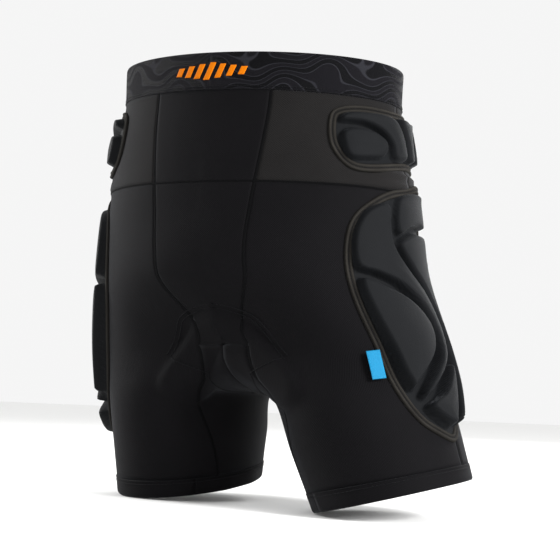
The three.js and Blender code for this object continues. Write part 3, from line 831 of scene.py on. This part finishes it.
def down_seam(side, u_at, top, bottom):
    def line(t, height):
        down = mix(top, bottom, t)
        return on_shell(side, u_at(down), down, height)
    return line


def level_seam(side, start, end, down):
    def line(t, height):
        level = np.full(t.shape, float(down))
        return on_shell(side, mix(start(level), end(level), t), level, height)
    return line


for side, name in sides:
    front, back = front_seam(side), back_seam(side)
    runs = [
        down_seam(side, front, shell_top, crotch_drop - 1),
        down_seam(side, back, shell_top, crotch_drop - 1),
        down_seam(side, once_round(front), crotch_drop + 1, hem_top),
        down_seam(side, back, crotch_drop + 1, hem_top),
        down_seam(side, side_line, side_seam_top, hem_top),
        level_seam(side, front, side_line, yoke_drop),
        level_seam(side, side_line, back, yoke_drop),
    ]
    runs += [yoke_line] if side > 0 else []
    finished("flatlock_seams_" + name, joined([flatlock(line) for line in runs]), "shorts", seam_knit)


# ---- the pad between the legs ----
def mirrored(half):
    return [(-x, y) for x, y in reversed(half)]


def open_curve(corners, steps=16):
    p = np.array(corners, float)
    p = np.array([2 * p[0] - p[1], *p, 2 * p[-1] - p[-2]])
    t = np.linspace(0, 1, steps, endpoint=False)[:, None]
    parts = [between(a, b, c, d, t) for a, b, c, d in zip(p, p[1:], p[2:], p[3:])]
    return np.concatenate([*parts, p[-2:-1]])


def along_curve(corners, place):
    curve = open_curve(corners)
    run = np.concatenate([[0], np.cumsum(np.linalg.norm(np.diff(curve, axis=0), axis=1))])

    def line(t, height):
        s = np.asarray(t) * run[-1]
        return place(np.interp(s, run, curve[:, 0]), np.interp(s, run, curve[:, 1]), height)
    return line


# The pad's stitched outline: an arch from the front centre line, (across, down), one from the back centre
# line, and a row inside each leg that joins them.
front_arch_side = [(28, 258), (49, 267), (57, 284), (57, 302)]
back_arch_side = [(24, 249), (42, 260), (51, 280), (51, 300)]
front_arch = mirrored(front_arch_side) + [(0, 255)] + front_arch_side
back_arch = mirrored(back_arch_side) + [(0, 246)] + back_arch_side
arch_length, twin_rows, leg_end_level, leg_dip = 190, (0, 4.6), 300, 31


def under_leg(side):
    front_end = front_arch[-1][0] / girth(side, leg_end_level)
    back_end = back_arch[-1][0] / girth(side, leg_end_level)

    def line(t, height):
        down = leg_end_level + leg_dip * np.sin(math.pi * t) ** 0.7
        return on_shell(side, mix(2 + front_end, 1 - back_end, t), down, height)
    return line


outline_rows = []
for corners, place in ((front_arch, beside_front), (back_arch, beside_spine)):
    row = along_curve(corners, place)
    for offset in twin_rows:
        outline_rows.append(stitched(row, offset, arch_length, stitch_pitch, thick=0.5, height=0.35))
for side, name in sides:
    row = under_leg(side)
    outline_rows.append(stitched(row, 0, line_length(row), stitch_pitch, thick=0.45, height=0.3))
finished("seat_liner_outline_stitching", joined(outline_rows), "shorts", thread)


def seat_liner():
    width, length, rise, wide, narrow, ends = 90, 330, 42, 52, 38, 0.25
    clear, foam = fabric + 4, 8
    top_edge = crotch_drop - 2

    def laid_at(base, x, down, height):
        side = np.where(x < 0, -1, 1)
        return on_shell(side, np.abs(base - np.abs(x) / girth(side, down)), down, height)

    def face(i, j, depth):
        half = mix(wide, narrow, np.sin(math.pi * j))
        x = mix(-half, half, i)
        base = np.where(j < 0.5, 0.0, 1.0)
        along = np.minimum(j, 1 - j)
        down = top_edge - rise * np.clip(1 - along / ends, 0, 1)
        ends_laid = laid_at(base, x, down, -depth)
        t = np.clip((j - ends) / (1 - 2 * ends), 0, 1)
        near_end = (1 - smooth(np.minimum(t, 1 - t), 0, 0.3))[:, None]
        centre = laid_at(base, 0 * x, down, -depth)
        under = on_shell(1, 2 - t, np.full(t.shape, float(crotch_drop)), -depth)
        middle = mix(under, centre, near_end)
        spread_out = mix(columns(x, 0 * x, 0 * x), ends_laid - centre, near_end)
        return np.where((along <= ends)[:, None], ends_laid, middle + spread_out)

    def place(i, j, lift):
        edge = np.minimum(np.minimum(i, 1 - i) * width, np.minimum(j, 1 - j) * length)
        swell = np.sin(np.clip(edge / 12, 0, 1) * math.pi / 2)
        channels = 0.55 * near(np.abs(i - 0.5) * width, 0.2 * width, 3)
        return face(i, j, clear + 1.2 + (foam - 1.5) * (swell - channels * swell) + lift)

    def back_place(i, j, lift):
        return face(i, j, clear + 0.4 * np.sin(math.pi * i) - lift)

    def chart(i, j):
        return columns(i * width, j * length)

    whole = joined([shaped((44, 110), face_at, chart) for face_at in (place, back_place)])
    rims = [e for e in whole.edges if e.is_boundary]
    bmesh.ops.bridge_loops(whole, edges=rims)
    bmesh.ops.recalc_face_normals(whole, faces=whole.faces)
    piece = finished("seat_liner_cushion", whole, "shorts", fleece, ["seat_liner_pad"])


seat_liner()

# ---- pad outlines, (across, down) from the side line, or from the spine for the tailbone ----
pads = {
    "hip": {
        "outline": [(-84, 66), (-76, 53), (-52, 47), (-13, 46), (26, 45), (71, 45), (86, 51), (91, 68),
                    (90, 90), (82, 102), (50, 104), (10, 104), (-16, 108), (-45, 114), (-66, 114),
                    (-78, 106), (-86, 88)],
        "blocks": {
            "front_low": [(-72, 76), (-52, 72), (-36, 77), (-29, 86), (-34, 97), (-50, 102), (-70, 103),
                          (-75, 90)],
            "front_arch": [(-73, 66), (-66, 57), (-43, 54), (-22, 54), (-11, 61), (-4, 78), (-4, 96),
                           (-16, 99), (-23, 96), (-24, 84), (-34, 72), (-52, 66)],
            "middle": [(-5, 54), (14, 53), (30, 52), (24, 60), (18, 70), (16, 94), (5, 96), (3, 78)],
            "rear_arch": [(37, 53), (53, 52), (78, 52), (81, 58), (64, 63), (51, 72), (47, 84), (46, 94),
                          (26, 95), (24, 80), (28, 64)],
            "rear_low": [(81, 65), (63, 70), (55, 80), (54, 93), (70, 95), (82, 92), (84, 78)],
        },
    },
    "thigh": {
        "outline": [(-4, 125), (-30, 131), (-52, 142), (-72, 158), (-82, 178), (-86, 210), (-83, 245),
                    (-74, 290), (-63, 335), (-47, 368), (-27, 386), (-9, 395), (2, 390), (16, 366),
                    (29, 325), (35, 270), (37, 200), (37, 142), (32, 126), (14, 120)],
        "blocks": {
            "front_sweep": [(-73, 170), (-61, 154), (-42, 145), (-36, 152), (-38, 170), (-34, 190),
                            (-18, 214), (0, 236), (8, 262), (4, 290), (-10, 314), (-29, 336), (-40, 345),
                            (-41, 339), (-26, 320), (-9, 294), (-5, 268), (-13, 247), (-34, 228),
                            (-58, 218), (-76, 212), (-78, 190)],
            "front_low": [(-75, 224), (-52, 231), (-29, 243), (-15, 258), (-11, 272), (-18, 292),
                          (-33, 314), (-49, 334), (-54, 328), (-62, 296), (-71, 260)],
            "rear_top": [(-22, 137), (0, 130), (24, 129), (29, 136), (28, 158), (24, 164), (8, 162),
                         (-8, 165), (-24, 174), (-30, 170), (-29, 152)],
            "rear_long": [(-28, 184), (-10, 173), (8, 170), (26, 174), (28, 200), (26, 262), (21, 320),
                          (9, 356), (-2, 378), (-3, 370), (5, 346), (12, 318), (16, 285), (14, 256),
                          (4, 230), (-14, 207)],
            "low": [(-38, 355), (-20, 342), (-4, 322), (7, 304), (9, 316), (2, 340), (-9, 370), (-15, 380),
                    (-29, 370)],
        },
    },
    "seat": {
        "outline": [(66, 160), (78, 154), (100, 153), (119, 158), (128, 170), (128, 200), (121, 240),
                    (113, 270), (98, 292), (84, 296), (70, 286), (56, 264), (51, 240), (54, 200), (60, 175)],
        "blocks": {
            "top": [(70, 167), (90, 164), (94, 170), (97, 187), (80, 187), (67, 181)],
            "outer": [(63, 190), (80, 193), (90, 197), (87, 210), (78, 226), (76, 246), (87, 272),
                      (91, 283), (80, 282), (66, 266), (59, 245), (59, 212)],
            "strip": [(101, 166), (116, 166), (121, 175), (120, 198), (111, 210), (98, 226), (96, 242),
                      (105, 260), (108, 266), (103, 280), (98, 282), (90, 264), (83, 246), (84, 230),
                      (94, 214), (101, 200), (103, 184)],
            "lens": [(119, 213), (106, 225), (103, 240), (112, 254), (118, 240)],
        },
    },
}


tail_strip = [(27, 70), (33, 80), (33, 98), (29, 118), (24, 136), (22, 150), (28, 172), (39, 188),
              (38, 198), (31, 200), (21, 180), (16, 154), (18, 134), (26, 110), (28, 88)]
tail_lens = [(38, 112), (40, 140), (48, 166), (49, 184), (44, 186), (34, 169), (28, 150), (31, 132)]
tail_half = [(0, 55), (22, 57), (36, 68), (39, 90), (39, 115), (45, 145), (55, 170), (55, 190), (43, 207),
             (20, 214), (0, 216)]
tail_middle = [(0, 65), (15, 69), (21, 86), (18, 108), (10, 132), (9, 152), (14, 178), (22, 200), (12, 206),
               (0, 207)]
pads["tailbone"] = {
    "outline": tail_half + mirrored(tail_half[1:-1]),
    "blocks": {
        "middle": tail_middle + mirrored(tail_middle[1:-1]),
        "strip_left": tail_strip,
        "strip_right": mirrored(tail_strip),
        "lens_left": tail_lens,
        "lens_right": mirrored(tail_lens),
    },
}


def closed_curve(corners, steps=12):
    """A smooth closed curve through the corners."""
    p = np.array(corners, float)
    t = np.linspace(0, 1, steps, endpoint=False)[:, None]
    neighbours = (np.roll(p, -n, axis=0) for n in (-1, 0, 1, 2))
    return np.concatenate([between(a, b, c, d, t) for a, b, c, d in zip(*neighbours)])


def depth_inside(points, curve):
    """Distance from each point to a closed curve, positive inside it."""
    a, b = curve, np.roll(curve, -1, axis=0)
    edge = b - a
    rel = points[:, None, :] - a[None]
    t = np.clip((rel * edge).sum(-1) / np.maximum((edge * edge).sum(-1), 1e-12), 0, 1)
    far = np.sqrt(((rel - t[..., None] * edge) ** 2).sum(-1).min(1))
    ya, yb = a[None, :, 1], b[None, :, 1]
    py, px = points[:, 1:2], points[:, 0:1]
    crosses = (ya > py) != (yb > py)
    at_x = a[None, :, 0] + (py - ya) * edge[None, :, 0] / np.where(np.abs(yb - ya) < 1e-12, 1e-12, yb - ya)
    inside = (crosses & (px < at_x)).sum(1) % 2 == 1
    return np.where(inside, far, -far)


shoulder, crown_height, crown_reach = 3.3, 1.3, 9
cover_inset, cover_underside = 2.0, 0.3
cover_pitch = 1.4


def pad_rise(kind, points):
    """Height of a pad's cover: foam blocks with rounded shoulders, and sewn-down channels between them."""
    pad = pads[kind]
    rise = np.zeros(len(points))
    for corners in pad["blocks"].values():
        d = depth_inside(points, closed_curve(corners)) + 0.6
        rounded = np.sin(np.clip(d / shoulder, 0, 1) * math.pi / 2) ** 0.8
        crown = crown_height * (1 - np.exp(-np.clip(d - 3, 0, None) / crown_reach))
        rise = np.maximum(rise, foam_rise[kind] * rounded + crown)
    if kind == "thigh":  # the foam is thin over the hip bone and thick down the thigh
        rise = rise * mix(0.62, 1.25, smooth(points[:, 1], 130, 310))
    return cover_base + rise


def pad_cover(name, kind, place, nodes):
    outline = closed_curve(pads[kind]["outline"])
    lo, hi = outline.min(0), outline.max(0)
    steps = [round(float(span) / cover_pitch) for span in hi - lo]
    bm = bmesh.new()
    bmesh.ops.create_grid(bm, x_segments=steps[0], y_segments=steps[1], size=0.5)
    flat = np.array([v.co[:2] for v in bm.verts])
    flat = lo + (flat - flat.min(0)) / (flat.max(0) - flat.min(0)) * (hi - lo)
    inside = depth_inside(flat, outline)
    for v, p in zip(bm.verts, flat):
        v.co = (*p, 0)
    bmesh.ops.delete(bm, geom=[v for v, d in zip(bm.verts, inside) if d < cover_inset], context="VERTS")
    bm.verts.ensure_lookup_table()
    uv = bm.loops.layers.uv.new("Cloth")
    for f in bm.faces:
        for corner in f.loops:
            corner[uv].uv = corner.vert.co.xy * MM
    top = bmesh.ops.extrude_face_region(bm, geom=list(bm.faces), use_keep_orig=True)
    raised = {v for v in top["geom"] if isinstance(v, bmesh.types.BMVert)}
    bm.verts.index_update()
    at = np.array([v.co[:2] for v in bm.verts])
    is_top = np.array([v in raised for v in bm.verts])
    height = np.where(is_top, pad_rise(kind, at), cover_underside)
    for v, p in zip(bm.verts, place(at[:, 0], at[:, 1], height) * MM):
        v.co = p
    bmesh.ops.recalc_face_normals(bm, faces=bm.faces)
    piece = finished(name + "_cover", bm, "shorts", cover_knit, nodes)


def outline_line(corners, place, inset):
    """The line along a pad's outline, moved inward by inset, with equal steps."""
    curve = closed_curve(corners, 10)
    ahead = np.roll(curve, -1, axis=0) - np.roll(curve, 1, axis=0)
    side_way = unit(np.stack([-ahead[:, 1], ahead[:, 0]], axis=1))
    if depth_inside(curve[:1] + side_way[:1] * 0.5, curve)[0] < 0:
        side_way = -side_way
    moved = curve + side_way * inset
    moved = np.concatenate([moved, moved[:1]])
    run = np.concatenate([[0], np.cumsum(np.linalg.norm(np.diff(moved, axis=0), axis=1))])

    def line(t, height):
        s = np.asarray(t) * run[-1]
        across, down = (np.interp(s, run, moved[:, k]) for k in (0, 1))
        return place(across, down, np.full(s.shape, float(height)))
    return line


binding_width, binding_inset, binding_wall = 8.4, 3.6, 0.9


def pad_binding(name, kind, place):
    line = outline_line(pads[kind]["outline"], place, binding_inset)
    length = line_length(line)

    def section(i, run):
        edge = np.minimum(i, 1 - i)
        two_ridges = np.abs(np.sin(2 * math.pi * i)) ** 0.8
        height = 0.15 + 1.5 * np.sin(np.clip(edge * 6, 0, 1) * math.pi / 2) + two_ridges
        return (i - 0.5) * binding_width, height

    bm = swept(line, section, 16, round(length / 2.4), closed=True)
    walled(finished(name + "_binding", bm, "shorts", tape, ()), binding_wall)

    def on_binding(across, down, height):
        return place(across, down, height + 1.75)

    row = outline_line(pads[kind]["outline"], on_binding, binding_inset)
    bm = stitched(row, 0, line_length(row), stitch_pitch, closed=True, thick=0.36, height=0.2)
    finished(name + "_binding_stitching", bm, "shorts", thread)


def make_pad(name, kind, place):
    nodes = [name + "_carrier"] + [f"{name}_{block}" for block in pads[kind]["blocks"]]
    pad_cover(name, kind, place, nodes)
    pad_binding(name, kind, place)


for side, name in sides:
    for kind in ("hip", "thigh", "seat"):
        make_pad(f"{kind}_pad_{name}", kind, beside_side(side))
make_pad("tailbone_pad", "tailbone", beside_spine)


# ---- side tag ----
def side_tag():
    down, edge, sewn_height = 306.0, -72.5, 4.9

    def at(across, level):
        return beside_side(1)(np.array([across]), np.array([level]), np.array([sewn_height]))[0]

    centre = at(edge, down)
    up = unit(at(edge - 0.6, down - 10) - at(edge + 0.6, down + 10))
    forward = at(edge - 8, down) - centre
    forward = unit(forward - up * (forward @ up))
    away = np.cross(up, forward)
    reach, tall, sewn_in, seam_allowance = 12, 28, 1.0, 6
    flat_width = 2 * reach + seam_allowance

    def place(i, j, lift):
        # A ribbon folded once: out, round the fold and back, open where it is sewn in.
        turn = (i - 0.5) * 2
        out = (reach + sewn_in) * (1 - np.abs(turn) ** 2.2) - sewn_in
        half = 0.55 * np.sin(np.clip(np.abs(turn) * 3, 0, 1) * math.pi / 2) * np.sign(turn)
        bend = 0.5 * np.sin(math.pi * j) * (1 - np.abs(turn))
        base = centre + np.outer(out, forward) + np.outer((0.5 - j) * tall, up)
        return base + np.outer(half + bend + lift * np.sign(turn + 1e-9), away)

    bm = shaped((48, 28), place, lambda i, j: columns(i * flat_width, j * tall))
    bmesh.ops.recalc_face_normals(bm, faces=bm.faces)
    piece = walled(finished("side_tag_ribbon", bm, "tag", ribbon, ["side_tag"]), 0.35)


side_tag()

# ---- floor, light and camera ----
floor_level, floor_half = -0.4412, 6
bm = bmesh.new()
bmesh.ops.create_grid(bm, x_segments=8, y_segments=8, size=floor_half)
for v in bm.verts:
    v.co.z = floor_level
floor_paint, tree = new_material("matt floor paint")
speck = add(tree, "TexNoise", {"Vector": add(tree, "TexCoord", out="Object"), "Scale": 30, "Detail": 2})
pale = add(tree, "Mix", {0: speck, 6: ink("#f1f1f0"), 7: ink("#f5f5f4")}, out=2, data_type="RGBA")
dressed(tree, pale, speck, 0.05, 0.8)
mesh = bpy.data.meshes.new("floor")
bm.to_mesh(mesh)
bm.free()
mesh.materials.append(floor_paint)
floor = bpy.data.objects.new("floor", mesh)
bpy.context.scene.collection.objects.link(floor)


def lamp(name, place, power, size, aim=(0.02, 0, -0.22)):
    data = bpy.data.lights.new(name, "AREA")
    data.energy = power
    data.size = size
    lamp_object = bpy.data.objects.new(name, data)
    lamp_object.location = place
    lamp_object.rotation_euler = (Vector(aim) - Vector(place)).to_track_quat("-Z", "Y").to_euler()
    bpy.context.scene.collection.objects.link(lamp_object)


lamp("key softbox", (-0.4, -1.9, 1.2), 4, 0.8)
lamp("side softbox", (2.0, -0.35, 0.5), 80, 0.7)
lamp("back softbox", (0.2, 2.0, 0.8), 26, 1.4)
lamp("left softbox", (-1.95, -0.15, 0.4), 32, 0.7)

world = bpy.data.worlds.new("studio")
bpy.context.scene.world = world
world.use_nodes = True
backdrop = world.node_tree.nodes["Background"]
backdrop.inputs["Color"].default_value = ink("#fbfbfb")
backdrop.inputs["Strength"].default_value = 0.95
bpy.context.scene.view_settings.view_transform = "Standard"

camera_data = bpy.data.cameras.new("camera")
camera = bpy.data.objects.new("camera", camera_data)
bpy.context.scene.collection.objects.link(camera)
azimuth, elevation, roll = (math.radians(angle) for angle in (29.5, -5, 2))
distance = 1.35
target = Vector((0.0286, 0.0049, -0.2151))
back = Vector((math.sin(azimuth) * math.cos(elevation), -math.cos(azimuth) * math.cos(elevation),
               math.sin(elevation)))
camera.location = target + back * distance
camera.rotation_mode = "QUATERNION"
camera.rotation_quaternion = (-back).to_track_quat("-Z", "Y") @ Quaternion((0, 0, 1), roll)
camera_data.lens = 85
camera_data.sensor_width = 36
bpy.context.scene.camera = camera
